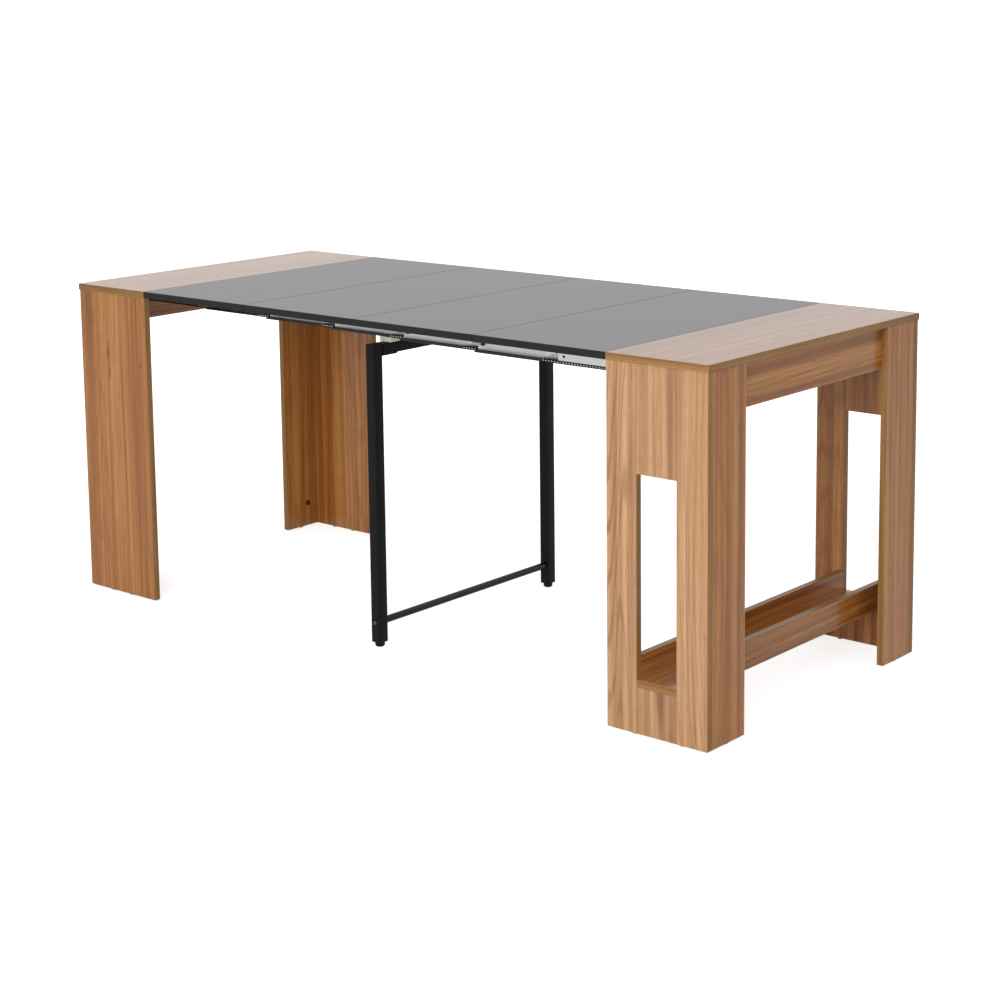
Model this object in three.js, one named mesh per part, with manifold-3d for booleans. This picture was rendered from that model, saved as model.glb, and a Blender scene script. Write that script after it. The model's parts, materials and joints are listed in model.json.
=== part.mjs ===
// Extending dining table, shown pulled out with its four leaves in place.
// Millimetres. The origin is on the floor under the middle of the table top.
// +X runs along the table to the storage unit, -Y is the front and +Z is up.

import * as THREE from "three";
import { mergeVertices } from "three/addons/utils/BufferGeometryUtils.js";
import Module from "manifold-3d";

// Overall sizes
const tableLength = 1840;
const tableWidth = 780;
const tableHeight = 750;
const boardThickness = 15;
const endTopLength = 240;
const topOverhang = 2;

// Gap in a fixed joint, gap under a piece that only rests, and how far a cut runs past a face
const jointGap = 0.1;
const seatGap = 0.3;
const cutOverrun = 5;

// Leaves
const leafCount = 4;
const leafGap = 0.4;

// End panels, aprons and glides
const endPanelWidth = 110;
const apronDepth = 90;
const glideHeight = 4;
const glideDiameter = 13;
const glideFootDiameter = 9;
const glideSides = 8;
const leftGlideInsets = [76, 144];
const stileGlideInset = 10;

// Window for the leaves and rack that holds them in the storage unit
const slotWidth = 94;
const slotTop = 520.5;
const shelfUnderside = 98.5;
const rackRailHeight = 60;

// Telescopic slides: nested rails on each side, the first fixed to the storage unit
const railCount = 7;
const railHeight = 42;
const railTopGap = 0.3;
const railEndClearance = 20;
const slideInset = 90;
const webThickness = 2.4;
const flangeDepth = 13.2;
const flangeThickness = 4.2;
const noseDepth = 12.2;
const noseThickness = 3.6;
const flangeTipClearance = 0.4;

// Ball cages that run between each rail and the next
const ballDiameter = 5;
const ballClearance = 0.15;
const ballsPerRow = 5;
const ballSides = 6;
const ballRings = 4;
const grooveDepth = 1;
const grooveSteps = 4;
const cageLength = 190.0333;
const cageOverhang = 45;
const cageEndInset = 20;
const cageThickness = 1.2;
const cagePlateThickness = 0.6;
const cagePlateClearance = 0.4;
const cageLipClearance = 0.5;

// Angle brackets that hang the first and last rails from the end tops
const bracketLength = 30;
const bracketWidth = 22;
const bracketDrop = 30;
const bracketThickness = 2;
const bracketInsets = [45, 160];

// Steel support frame under the middle of the table
const supportOffset = -27;
const supportInset = 81;
const tubeSize = 25;
const postDepth = 28;
const tubeWall = 1.5;
const tubeCornerRadius = 2;
const tubeCornerSteps = 2;
const topBarHeight = 25;
const spacerHeight = 12.5;
const spacerLength = 33;
const spacerWidth = 31;
const spacerMargin = 5;
const spacerRelief = 2;
const saddleLength = 44;
const saddleThickness = 2;
const saddleRise = 24;
const saddleBoltDiameter = 5;
const saddleBoltInset = 11;
const saddleBoltBite = 1.5;
const stretcherDiameter = 16;
const stretcherHeight = 56;
const stretcherBoltDiameter = 6;
const stretcherBoltBite = 15;
const boltHeadDiameter = 10;
const boltHeadHeight = 3;
const boltHeadCrown = 2;
const boltClearance = 0.3;
const capThickness = 2;
const plugDepth = 22;
const footDiameter = 22;
const footHeight = 11;
const footChamfer = 3;
const stemDiameter = 8;
const stemLength = 18;
const stemClearance = 0.3;
const roundSides = 12;
const boltSides = 8;

// Places and sizes worked out from those above
const halfLength = tableLength / 2;
const halfWidth = tableWidth / 2;
const topUnderside = tableHeight - boardThickness;
const panelTop = topUnderside - jointGap;
const panelOuterX = halfLength - topOverhang;
const panelOuterY = halfWidth - topOverhang;
const panelInnerX = halfLength - endTopLength;
const sideFaceY = panelOuterY - boardThickness;
const endFaceX = panelOuterX - boardThickness;
const apronInnerX = endFaceX - boardThickness;
const stileWidth = (panelOuterX - panelInnerX - slotWidth) / 2;
const slotInnerX = panelInnerX + stileWidth;
const slotOuterX = slotInnerX + slotWidth;

const firstRailFace = halfWidth - slideInset;
const supportPostFace = halfWidth - supportInset;
const closedLength = 2 * endTopLength;
const stroke = (tableLength - closedLength) / (railCount - 1);
const firstRailEnd = apronInnerX - railEndClearance;
const railLength = 2 * firstRailEnd + closedLength - tableLength;
const railBottom = topUnderside - railTopGap - railHeight;
const webInner = flangeDepth + webThickness;
const noseEnd = webInner + noseDepth;
const railPitch = webInner + flangeTipClearance;
const stackFace = firstRailFace + flangeDepth;
const grooveRadius = ballDiameter / 2 + ballClearance;
const grooveHalfAngle = Math.acos((grooveRadius - grooveDepth) / grooveRadius);
const ballHeight = flangeThickness - grooveDepth + grooveRadius;
const ballInset = webInner + noseDepth / 2;
const noseUnderside = ballHeight + grooveRadius - grooveDepth;
const lastRail = railCount - 1;
const middleRail = Math.floor(lastRail / 2);

const supportTop = railBottom - spacerHeight - 2 * jointGap;
const barUnderside = supportTop - topBarHeight;
const postInnerY = supportPostFace - postDepth;
const postBottom = footHeight + seatGap;
const saddleUnderside = barUnderside - saddleThickness;

const sides = [["front", -1], ["back", 1]];
const up = [0, 0, 1];
const down = [0, 0, -1];

const wasm = await Module();
wasm.setup();
const { Manifold, Mesh: SolidMesh } = wasm;

const materials = {
  wood: surface("#b88a5f", 0.5, 0),
  leaf: surface("#2d2d2e", 0.4, 0),
  aluminium: surface("#d3d6cf", 0.4, 0.8),
  cage: surface("#4a5158", 0.35, 0.9),
  blackSteel: surface("#1c1c1e", 0.5, 0.2),
  blackPlastic: surface("#151516", 0.6, 0),
  nylon: surface("#ddd6b8", 0.5, 0),
};

function surface(color, roughness, metalness) {
  return new THREE.MeshStandardMaterial({ color, roughness, metalness });
}

function addPiece(parent, name, geometry, material, place = [0, 0, 0]) {
  const mesh = new THREE.Mesh(geometry, material);
  mesh.name = name;
  mesh.position.set(...place);
  parent.add(mesh);
}

function addGroup(parent, x, y, z) {
  const group = new THREE.Group();
  group.position.set(x, y, z);
  parent.add(group);
  return group;
}

// Turns a closed geometry into a solid that can be cut
function solidOf(geometry) {
  const bare = geometry.clone();
  bare.deleteAttribute("normal");
  bare.deleteAttribute("uv");
  const merged = mergeVertices(bare);
  const vertProperties = new Float32Array(merged.attributes.position.array);
  const triVerts = new Uint32Array(merged.index.array);
  return new Manifold(new SolidMesh({ numProp: 3, vertProperties, triVerts }));
}

// Turns a solid back into a geometry
function geometryOf(solid) {
  const mesh = solid.getMesh();
  const geometry = new THREE.BufferGeometry();
  geometry.setAttribute("position", new THREE.BufferAttribute(mesh.vertProperties, 3));
  geometry.setIndex(new THREE.BufferAttribute(mesh.triVerts, 1));
  geometry.computeVertexNormals();
  return geometry;
}

// Joins pieces that meet into one geometry
function together(geometries) {
  return geometryOf(geometries.map(solidOf).reduce((sum, solid) => sum.add(solid)));
}

function cut(geometry, tools) {
  return tools.length === 0 ? geometry : geometryOf(solidOf(geometry).subtract(solidOf(together(tools))));
}

// A block between two opposite corners, given in any order
function block(a, b) {
  const size = a.map((value, i) => Math.abs(b[i] - value));
  const centre = a.map((value, i) => (value + b[i]) / 2);
  return new THREE.BoxGeometry(...size).translate(...centre);
}

// Turns a shape made along +Y to point along a direction, and moves its start to a place
function aim(geometry, place, direction) {
  const along = new THREE.Vector3(...direction);
  const turn = new THREE.Quaternion().setFromUnitVectors(new THREE.Vector3(0, 1, 0), along);
  return geometry.applyQuaternion(turn).translate(...place);
}

function rod(place, direction, diameter, length, sides) {
  const shape = new THREE.CylinderGeometry(diameter / 2, diameter / 2, length, sides);
  return aim(shape.translate(0, length / 2, 0), place, direction);
}

// A turned piece, from points of radius and height that start and end on its axis
function turned(points, place, direction, sides) {
  const profile = points.map(([radius, height]) => new THREE.Vector2(radius, height));
  return aim(new THREE.LatheGeometry(profile, sides), place, direction);
}

// A bar of one section, from points of Y and Z, that runs along +X from its start
function barAlongX(points, length) {
  const section = new THREE.Shape(points.map(([y, z]) => new THREE.Vector2(y, z)));
  const bar = new THREE.ExtrudeGeometry(section, { depth: length, bevelEnabled: false });
  const axes = [new THREE.Vector3(0, 1, 0), new THREE.Vector3(0, 0, 1), new THREE.Vector3(1, 0, 0)];
  return bar.applyMatrix4(new THREE.Matrix4().makeBasis(...axes));
}

// A round hole that starts outside a face and runs into it
function drill(place, outward, diameter, depth, sides) {
  const inward = outward.map((value) => -value);
  const start = place.map((value, i) => value + outward[i] * cutOverrun);
  return rod(start, inward, diameter, depth + cutOverrun, sides);
}

// Boards

// A board between two corners, on the glides that are nailed under it
function addBoard(parent, name, a, b, glidePlaces = []) {
  addPiece(parent, name, together([block(a, b), ...glidePlaces.map(glide)]), materials.wood);
}

function glide([x, y]) {
  const profile = [
    [0, 0],
    [glideFootDiameter / 2, 0],
    [glideDiameter / 2, glideHeight / 2],
    [glideDiameter / 2, glideHeight + seatGap],
    [0, glideHeight + seatGap],
  ];
  return turned(profile, [x, y, 0], up, glideSides);
}

// The boards that both units share: top, two narrow end panels and apron
function addEndBoards(unit, name, end) {
  addBoard(
    unit,
    `${name}_top`,
    [end * panelInnerX, -halfWidth, topUnderside],
    [end * halfLength, halfWidth, tableHeight],
  );
  const corner = sideFaceY - jointGap;
  const middleX = end * (panelOuterX - boardThickness / 2);
  for (const [label, side] of sides) {
    addBoard(
      unit,
      `${name}_${label}_end_panel`,
      [end * endFaceX, side * corner, glideHeight],
      [end * panelOuterX, side * (corner - endPanelWidth), panelTop],
      [[middleX, side * (corner - endPanelWidth / 2)]],
    );
  }
  addBoard(
    unit,
    `${name}_apron`,
    [end * apronInnerX, -corner, topUnderside - apronDepth],
    [end * (endFaceX - jointGap), corner, panelTop],
  );
}

// Left unit: a plain board on each side
function addLeftUnit(table) {
  const unit = addGroup(table, 0, 0, 0);
  addEndBoards(unit, "left", -1);
  const middleY = panelOuterY - boardThickness / 2;
  for (const [label, side] of sides) {
    addBoard(
      unit,
      `left_${label}_panel`,
      [-panelOuterX, side * panelOuterY, glideHeight],
      [-panelInnerX, side * sideFaceY, panelTop],
      leftGlideInsets.map((inset) => [inset - panelOuterX, side * middleY]),
    );
  }
}

// Storage unit: each side is two stiles and two fillers around the leaf window
function addStorageUnit(table) {
  const unit = addGroup(table, 0, 0, 0);
  addEndBoards(unit, "right", 1);
  for (const [label, side] of sides) {
    addSlottedSide(unit, `right_${label}`, side * panelOuterY, side * sideFaceY);
  }
  addRack(unit);
}

// One side of the storage unit, between the Y of its outer and inner faces
function addSlottedSide(unit, name, outer, inner) {
  const middleY = (outer + inner) / 2;
  const fillerStart = slotInnerX + jointGap;
  const fillerEnd = slotOuterX - jointGap;
  addBoard(
    unit,
    `${name}_inner_stile`,
    [panelInnerX, outer, glideHeight],
    [slotInnerX, inner, panelTop],
    [[slotInnerX - stileGlideInset, middleY]],
  );
  addBoard(
    unit,
    `${name}_outer_stile`,
    [slotOuterX, outer, glideHeight],
    [panelOuterX, inner, panelTop],
    [[slotOuterX + stileGlideInset, middleY]],
  );
  addBoard(unit, `${name}_upper_filler`, [fillerStart, outer, slotTop], [fillerEnd, inner, panelTop]);
  addBoard(
    unit,
    `${name}_lower_filler`,
    [fillerStart, outer, glideHeight],
    [fillerEnd, inner, shelfUnderside - jointGap],
  );
}

// Rack: a shelf that runs out through both windows, between two rails that keep the leaves upright
function addRack(unit) {
  const rackTop = shelfUnderside + rackRailHeight;
  const endY = sideFaceY - jointGap;
  addBoard(
    unit,
    "rack_shelf",
    [slotInnerX + jointGap, -panelOuterY, shelfUnderside],
    [slotOuterX - jointGap, panelOuterY, shelfUnderside + boardThickness],
  );
  addBoard(
    unit,
    "rack_inner_rail",
    [slotInnerX - boardThickness, -endY, shelfUnderside],
    [slotInnerX, endY, rackTop],
  );
  addBoard(
    unit,
    "rack_outer_rail",
    [slotOuterX, -endY, shelfUnderside],
    [slotOuterX + boardThickness, endY, rackTop],
  );
}

// Leaves, numbered from the left unit to the storage unit
function addLeaves(table) {
  const room = tableLength - closedLength - leafGap * (leafCount + 1);
  const leafLength = room / leafCount;
  for (let i = 0; i < leafCount; i += 1) {
    const start = leafGap - panelInnerX + i * (leafLength + leafGap);
    const leaf = new THREE.BoxGeometry(leafLength, tableWidth, boardThickness);
    const place = [start + leafLength / 2, 0, topUnderside + boardThickness / 2];
    addPiece(table, `leaf_${i + 1}`, leaf, materials.leaf, place);
  }
}

// Slides. An inset is measured from a rail's outer edge towards the middle of the table,
// and a height from the underside of the rails.

// Y of a point on a rail, for the front (side -1) or the back (side 1)
function railY(side, index, inset) {
  return side * (stackFace - index * railPitch - inset);
}

function railStart(index) {
  return firstRailEnd - railLength - index * stroke;
}

// Arc of a ball groove, cut up (sign 1) or down (sign -1) from the ball's centre
function groovePoints(inset, sign) {
  return Array.from({ length: grooveSteps + 1 }, (_, i) => {
    const angle = grooveHalfAngle * ((2 * i) / grooveSteps - 1);
    return [
      inset + grooveRadius * Math.sin(angle),
      ballHeight + sign * grooveRadius * Math.cos(angle),
    ];
  });
}

// Lower half of the channel that holds the rail before
function flangeOutline() {
  return [
    [flangeDepth, flangeThickness],
    ...groovePoints(ballInset - railPitch, -1).reverse(),
    [0, flangeThickness],
    [0, 0],
    [webInner, 0],
  ];
}

// Lower of the two lips that run in the next rail's channel
function noseOutline() {
  return [
    [webInner, noseUnderside],
    ...groovePoints(ballInset, 1),
    [noseEnd, noseUnderside],
    [noseEnd, noseUnderside + noseThickness],
    [webInner, noseUnderside + noseThickness],
  ];
}

function upsideDown(points) {
  return points.map(([inset, height]) => [inset, railHeight - height]).reverse();
}

// The first rail has no channel, and the last has no lips
function railOutline(index) {
  const nose = index < lastRail ? noseOutline() : [];
  if (index > 0) {
    const lower = [...flangeOutline(), ...nose];
    return [...lower, ...upsideDown(lower)];
  }
  const web = [[webInner, railHeight], [flangeDepth, railHeight], [flangeDepth, noseUnderside]];
  return [...nose, ...upsideDown(nose), ...web];
}

function addRails(table) {
  const slides = addGroup(table, 0, 0, railBottom);
  for (const [label, side] of sides) {
    for (let index = 0; index < railCount; index += 1) {
      const points = railOutline(index).map(([inset, height]) => [railY(side, index, inset), height]);
      const rail = fitOutRail(barAlongX(points, railLength), side, index);
      const name = `${label}_slide_rail_${index + 1}`;
      addPiece(slides, name, rail, materials.aluminium, [railStart(index), 0, 0]);
    }
  }
}

// The first and last rails carry their brackets, and the middle one has a bolt hole
function fitOutRail(rail, side, index) {
  if (index === middleRail) {
    const place = [supportOffset - railStart(index), saddleBoltY(side), 0];
    return cut(rail, [drill(place, down, boreFor(saddleBoltDiameter), 2 * flangeThickness, boltSides)]);
  }
  if (index === 0) {
    return together([rail, ...bracketInsets.map((inset) => bracket(railLength - inset, side, 0))]);
  }
  if (index === lastRail) {
    return together([rail, ...bracketInsets.map((inset) => bracket(inset, side, lastRail))]);
  }
  return rail;
}

// Angle bracket on the first rail's outer face or the last rail's inner face, up to an end top
function bracket(x, side, index) {
  const away = index === 0 ? side : -side;
  const web = railY(side, index, flangeDepth + webThickness / 2);
  const face = web + (away * webThickness) / 2;
  const top = railHeight + railTopGap - jointGap;
  const start = x - bracketLength / 2;
  const end = x + bracketLength / 2;
  const upright = block([start, web, top], [end, face + away * bracketThickness, top - bracketDrop]);
  const flat = block([start, face, top], [end, face + away * bracketWidth, top - bracketThickness]);
  return together([upright, flat]);
}

// Cages: a thin channel round a rail's two lips, with a row of balls in each arm
function cageOutline() {
  const plate = noseEnd + cagePlateClearance;
  const back = plate + cagePlateThickness;
  const lip = webInner + cageLipClearance;
  const low = ballHeight - cageThickness / 2;
  const high = ballHeight + cageThickness / 2;
  const lowerArm = [[plate, high], [lip, high], [lip, low], [back, low]];
  return [...lowerArm, ...upsideDown(lowerArm)];
}

function ballPlaces(side, index) {
  const spacing = (cageLength - 2 * cageEndInset) / (ballsPerRow - 1);
  const y = railY(side, index, ballInset);
  return Array.from({ length: ballsPerRow }, (_, i) => cageEndInset + i * spacing).flatMap((x) => [
    [x, y, ballHeight],
    [x, y, railHeight - ballHeight],
  ]);
}

function ball(place) {
  return aim(new THREE.SphereGeometry(ballDiameter / 2, ballSides, ballRings), place, up);
}

function addCages(table) {
  const slides = addGroup(table, 0, 0, railBottom);
  for (const [label, side] of sides) {
    for (let index = 0; index < lastRail; index += 1) {
      const points = cageOutline().map(([inset, height]) => [railY(side, index, inset), height]);
      const strip = barAlongX(points, cageLength);
      const cage = together([strip, ...ballPlaces(side, index).map(ball)]);
      const place = [railStart(index) - cageOverhang, 0, 0];
      addPiece(slides, `${label}_ball_cage_${index + 1}`, cage, materials.cage, place);
    }
  }
}

// Support frame

// A tube of rectangular section that runs along +Y from its start
function boxTube(width, depth, length) {
  const outline = roundedRectangle(width, depth);
  outline.holes.push(rectangle(width - 2 * tubeWall, depth - 2 * tubeWall));
  const options = { depth: length, bevelEnabled: false, curveSegments: tubeCornerSteps };
  return new THREE.ExtrudeGeometry(outline, options).rotateX(-Math.PI / 2);
}

function rectangle(width, depth) {
  const x = width / 2;
  const y = depth / 2;
  return new THREE.Path().moveTo(x, -y).lineTo(x, y).lineTo(-x, y).lineTo(-x, -y);
}

function roundedRectangle(width, depth) {
  const x = width / 2 - tubeCornerRadius;
  const y = depth / 2 - tubeCornerRadius;
  return new THREE.Shape()
    .absarc(x, -y, tubeCornerRadius, -Math.PI / 2, 0)
    .absarc(x, y, tubeCornerRadius, 0, Math.PI / 2)
    .absarc(-x, y, tubeCornerRadius, Math.PI / 2, Math.PI)
    .absarc(-x, -y, tubeCornerRadius, Math.PI, 1.5 * Math.PI);
}

// The bolt of a saddle goes up into the lower flange of the middle rail, near its web
function saddleBoltY(side) {
  return railY(side, middleRail, saddleBoltInset);
}

function boreFor(diameter) {
  return diameter + 2 * boltClearance;
}

// A bolt with its head on a face and its shank along a direction from there
function bolt(place, direction, diameter, length) {
  const profile = [
    [0, -boltHeadHeight],
    [boltHeadDiameter / 2 - boltHeadCrown, -boltHeadHeight],
    [boltHeadDiameter / 2, -boltHeadHeight / 2],
    [boltHeadDiameter / 2, 0],
    [diameter / 2, 0],
    [diameter / 2, length],
    [0, length],
  ];
  return turned(profile, place, direction, boltSides);
}

function addSupportFrame(table) {
  const frame = addGroup(table, supportOffset, 0, 0);
  addTopBar(frame);
  addStretcher(frame);
  for (const [label, side] of sides) {
    const y = side * (supportPostFace - postDepth / 2);
    addPiece(frame, `support_${label}_post`, post(side, y), materials.blackSteel);
    addPiece(frame, `support_${label}_spacer`, spacer(side), materials.nylon);
    addPiece(frame, `${label}_levelling_foot`, levellingFoot(), materials.blackPlastic, [0, y, 0]);
  }
}

// Post: a tube with a cap in its top and a threaded insert for the foot in its bottom
function post(side, y) {
  const lidUnderside = supportTop - capThickness;
  const tube = aim(boxTube(tubeSize, postDepth, lidUnderside - postBottom), [0, y, postBottom], up);
  const lid = postFilling(y, 0, lidUnderside, supportTop);
  const cap = postFilling(y, tubeWall / 2, lidUnderside - plugDepth, lidUnderside);
  const insert = postFilling(y, tubeWall / 2, postBottom, postBottom + plugDepth);
  const stemHole = stemDiameter + 2 * stemClearance;
  const stemBore = drill([0, y, postBottom], down, stemHole, 2 * plugDepth, roundSides);
  const start = [0, side * supportPostFace, stretcherHeight];
  const crossBore = drill(start, [0, side, 0], boreFor(stretcherBoltDiameter), 2 * postDepth, boltSides);
  return cut(together([tube, lid, cap, insert]), [stemBore, crossBore]);
}

// A block that fills a post between two heights, so far in from its faces
function postFilling(y, inset, bottom, top) {
  const x = tubeSize / 2 - inset;
  const reach = postDepth / 2 - inset;
  return block([-x, y - reach, bottom], [x, y + reach, top]);
}

function levellingFoot() {
  const radius = footDiameter / 2;
  const profile = [
    [0, 0],
    [radius - footChamfer, 0],
    [radius, footChamfer],
    [radius, footHeight],
    [stemDiameter / 2, footHeight],
    [stemDiameter / 2, footHeight + stemLength],
    [0, footHeight + stemLength],
  ];
  return turned(profile, [0, 0, 0], up, roundSides);
}

// Top bar, with the saddles welded round it and the bolts that go up into the middle rails
function addTopBar(frame) {
  const end = postInnerY - jointGap;
  const start = [0, -end, barUnderside + topBarHeight / 2];
  const bar = aim(boxTube(tubeSize, topBarHeight, 2 * end), start, [0, 1, 0]);
  const reach = railBottom + saddleBoltBite - saddleUnderside;
  const bolts = sides.map(([, side]) =>
    bolt([0, saddleBoltY(side), saddleUnderside], up, saddleBoltDiameter, reach),
  );
  const saddles = sides.map(([, side]) => saddle(side));
  addPiece(frame, "support_top_bar", together([bar, ...saddles, ...bolts]), materials.blackSteel);
}

// Channel that wraps the top bar from below, next to a post
function saddle(side) {
  const inside = tubeSize / 2 - tubeWall / 2;
  const outside = tubeSize / 2 + saddleThickness;
  const start = side * (postInnerY - seatGap);
  const end = start - side * saddleLength;
  const top = saddleUnderside + saddleRise;
  const floorTop = barUnderside + tubeWall / 2;
  const floor = block([-outside, start, saddleUnderside], [outside, end, floorTop]);
  const cheeks = [-1, 1].map((way) =>
    block([way * inside, start, saddleUnderside], [way * outside, end, top]),
  );
  return together([floor, ...cheeks]);
}

// Stretcher: a round bar with a bolt through the post screwed into each end
function addStretcher(frame) {
  const end = postInnerY - jointGap;
  const bar = rod([0, -end, stretcherHeight], [0, 1, 0], stretcherDiameter, 2 * end, roundSides);
  const reach = postDepth + jointGap + stretcherBoltBite;
  const bolts = sides.map(([, side]) => {
    const seat = [0, side * (supportPostFace + jointGap), stretcherHeight];
    return bolt(seat, [0, -side, 0], stretcherBoltDiameter, reach);
  });
  addPiece(frame, "support_stretcher", together([bar, ...bolts]), materials.blackSteel);
}

// Block between the top bar and the middle rail. It is lower under the next rail, which passes over it.
function spacer(side) {
  const outer = saddleBoltY(side) + side * spacerMargin;
  const inner = outer - side * spacerWidth;
  const bottom = supportTop + jointGap;
  const top = bottom + spacerHeight;
  const half = spacerLength / 2;
  const start = [0, saddleBoltY(side), bottom];
  const bore = drill(start, down, boreFor(saddleBoltDiameter), 2 * spacerHeight, boltSides);
  const edge = railY(side, middleRail, webInner);
  const past = inner - side * cutOverrun;
  const step = block([-spacerLength, edge, top - spacerRelief], [spacerLength, past, top + cutOverrun]);
  return cut(block([-half, outer, bottom], [half, inner, top]), [bore, step]);
}

function buildTable() {
  const table = new THREE.Group();
  addLeftUnit(table);
  addStorageUnit(table);
  addLeaves(table);
  addRails(table);
  addCages(table);
  addSupportFrame(table);
  return table;
}

export default buildTable();
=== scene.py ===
# Extending dining table, pulled out with its four leaves in place.
# Metres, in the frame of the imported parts: +X towards the storage unit, -Y to the front, +Z up.
import json
import math

import bmesh
import bpy
from mathutils import Matrix, Vector

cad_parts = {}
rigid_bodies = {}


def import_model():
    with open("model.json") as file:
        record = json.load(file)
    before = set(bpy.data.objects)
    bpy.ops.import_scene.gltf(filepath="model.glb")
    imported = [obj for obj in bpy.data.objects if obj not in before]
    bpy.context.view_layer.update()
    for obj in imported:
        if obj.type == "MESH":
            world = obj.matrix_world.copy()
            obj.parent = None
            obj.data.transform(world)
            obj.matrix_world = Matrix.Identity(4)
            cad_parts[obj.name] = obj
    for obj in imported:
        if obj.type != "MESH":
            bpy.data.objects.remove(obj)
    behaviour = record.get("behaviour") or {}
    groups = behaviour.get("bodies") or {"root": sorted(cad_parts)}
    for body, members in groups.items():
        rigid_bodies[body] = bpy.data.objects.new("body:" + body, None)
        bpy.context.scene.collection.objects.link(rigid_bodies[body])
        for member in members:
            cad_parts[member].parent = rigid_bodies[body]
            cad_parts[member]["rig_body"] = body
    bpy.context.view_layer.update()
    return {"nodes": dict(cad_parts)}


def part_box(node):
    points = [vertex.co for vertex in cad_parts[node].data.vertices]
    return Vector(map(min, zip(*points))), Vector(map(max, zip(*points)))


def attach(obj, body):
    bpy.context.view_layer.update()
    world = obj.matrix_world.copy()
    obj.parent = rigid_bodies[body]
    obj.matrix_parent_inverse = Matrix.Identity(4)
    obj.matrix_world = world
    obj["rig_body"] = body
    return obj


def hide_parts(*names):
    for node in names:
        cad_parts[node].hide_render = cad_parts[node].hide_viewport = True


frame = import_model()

MM = 0.001
FRONT, BACK = -1, 1
SIDES = (("front", FRONT), ("back", BACK))
# Numbers of the axes
Y, Z = 1, 2

# Camera, found from the photograph's straight edges for a square image: metres, degrees and millimetres
CAMERA_PLACE = (3.0660, -3.4837, 1.4348)
CAMERA_TURN = (81.5128, 0.6636, 40.4772)
CAMERA_LENS, CAMERA_FILM = 74.542, 36
CAMERA_SHIFT = -0.2
CAMERA_REACH = 100


def camera():
    data = bpy.data.cameras.new("camera")
    data.lens = CAMERA_LENS
    data.sensor_width = CAMERA_FILM
    data.shift_y = CAMERA_SHIFT
    data.clip_end = CAMERA_REACH
    eye = bpy.data.objects.new("camera", data)
    eye.location = CAMERA_PLACE
    eye.rotation_euler = [math.radians(turn) for turn in CAMERA_TURN]
    bpy.context.scene.collection.objects.link(eye)
    bpy.context.scene.camera = eye


# Materials

# Inputs of a Mix node that mixes two colours
FACTOR, FIRST, SECOND = 0, 6, 7


def linear(colour):
    """An sRGB hex colour as linear RGBA."""
    shares = [int(colour[i:i + 2], 16) / 255 for i in (1, 3, 5)]
    return [s / 12.92 if s <= 0.04045 else ((s + 0.055) / 1.055) ** 2.4 for s in shares] + [1]


def grey(share):
    return (share, share, share, 1)


def add(tree, kind, inputs=None, stops=(), **settings):
    """Adds a node. An input takes a value, a socket, or a node for the first output that it has in use."""
    node = tree.nodes.new(f"ShaderNode{kind}")
    for name, value in settings.items():
        setattr(node, name, value)
    for name, value in (inputs or {}).items():
        if isinstance(value, bpy.types.Node):
            value = next(socket for socket in value.outputs if socket.enabled)
        if isinstance(value, bpy.types.NodeSocket):
            tree.links.new(value, node.inputs[name])
        else:
            node.inputs[name].default_value = value
    for _ in stops[2:]:
        node.color_ramp.elements.new(0.5)
    for number, (place, colour) in enumerate(stops):
        node.color_ramp.elements[number].position = place
        node.color_ramp.elements[number].color = colour
    return node


def new_material(name):
    material = bpy.data.materials.new(name)
    material.use_nodes = True
    material.node_tree.nodes.clear()
    return material, material.node_tree


# Printed wood: the width across the grain and the length along it of each feature, in millimetres.
# Fibres, pores and flecks are coarser than real ones, so that they show in the render.
GRAIN_MAP = "Grain"
DRIFT, DRIFT_REACH = (143, 1110), 30
BANDS = (20.8, 2000)
ARCHES, RING_SPACING = (167, 1820), 8.4
RING_SHAKE, SHAKE_SHARE = (33, 670), 0.12
FADED_STRETCHES = (111, 1250)
FIBRES, FIBRE_SHARE = (2.4, 167), 0.8
PORES = (1.1, 45)
SHEET_TONES = (1430, 3330)
BAND_STOPS = (0.35, 0.44, 0.53, 0.63)
GROWTH_LINE, PORE, RING_HEART, KNOT = "#7c4820", "#693c1e", "#6f3f20", "#7a4322"

# Knots printed on the front of the left unit: places and half sizes in the grain map, in metres
KNOTS = (((4.152, 3.002), (0.009, 0.034)), ((4.156, 2.955), (0.006, 0.022)), ((4.262, 2.98), (0.005, 0.012)))

EDGE_DRIFT, EDGE_DRIFT_REACH = (25, 500), 4
EDGE_STREAKS = (6.25, 400)
EDGE_FLECKS = (0.8, 17)

# The mottle of pressed melamine, in millimetres
MOTTLE = 3.8


def print_scale(width, length):
    """The scale of a mapping in which a feature of this width and length is one unit."""
    return (1 / (width * MM), 1 / (length * MM), 1)


def streaks(tree, grain, size, detail, roughness=0.5):
    """A noise drawn out along the grain, with features of the given width and length."""
    place = add(tree, "Mapping", {"Vector": grain, "Scale": print_scale(*size)})
    return add(tree, "TexNoise", {"Vector": place, "Scale": 1, "Detail": detail, "Roughness": roughness})


def wandering_grain(tree, reach, size):
    """The board's own grain map, pushed sideways by a slow noise so that no line runs straight."""
    grain = add(tree, "UVMap", uv_map=GRAIN_MAP)
    drift = streaks(tree, grain, size, 2).outputs["Color"]
    centred = add(tree, "VectorMath", {0: drift, 1: (0.5, 0.5, 0.5)}, operation="SUBTRACT")
    return add(tree, "VectorMath", {0: centred, 1: (reach * MM, 0, 0), 2: grain}, operation="MULTIPLY_ADD")


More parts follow.
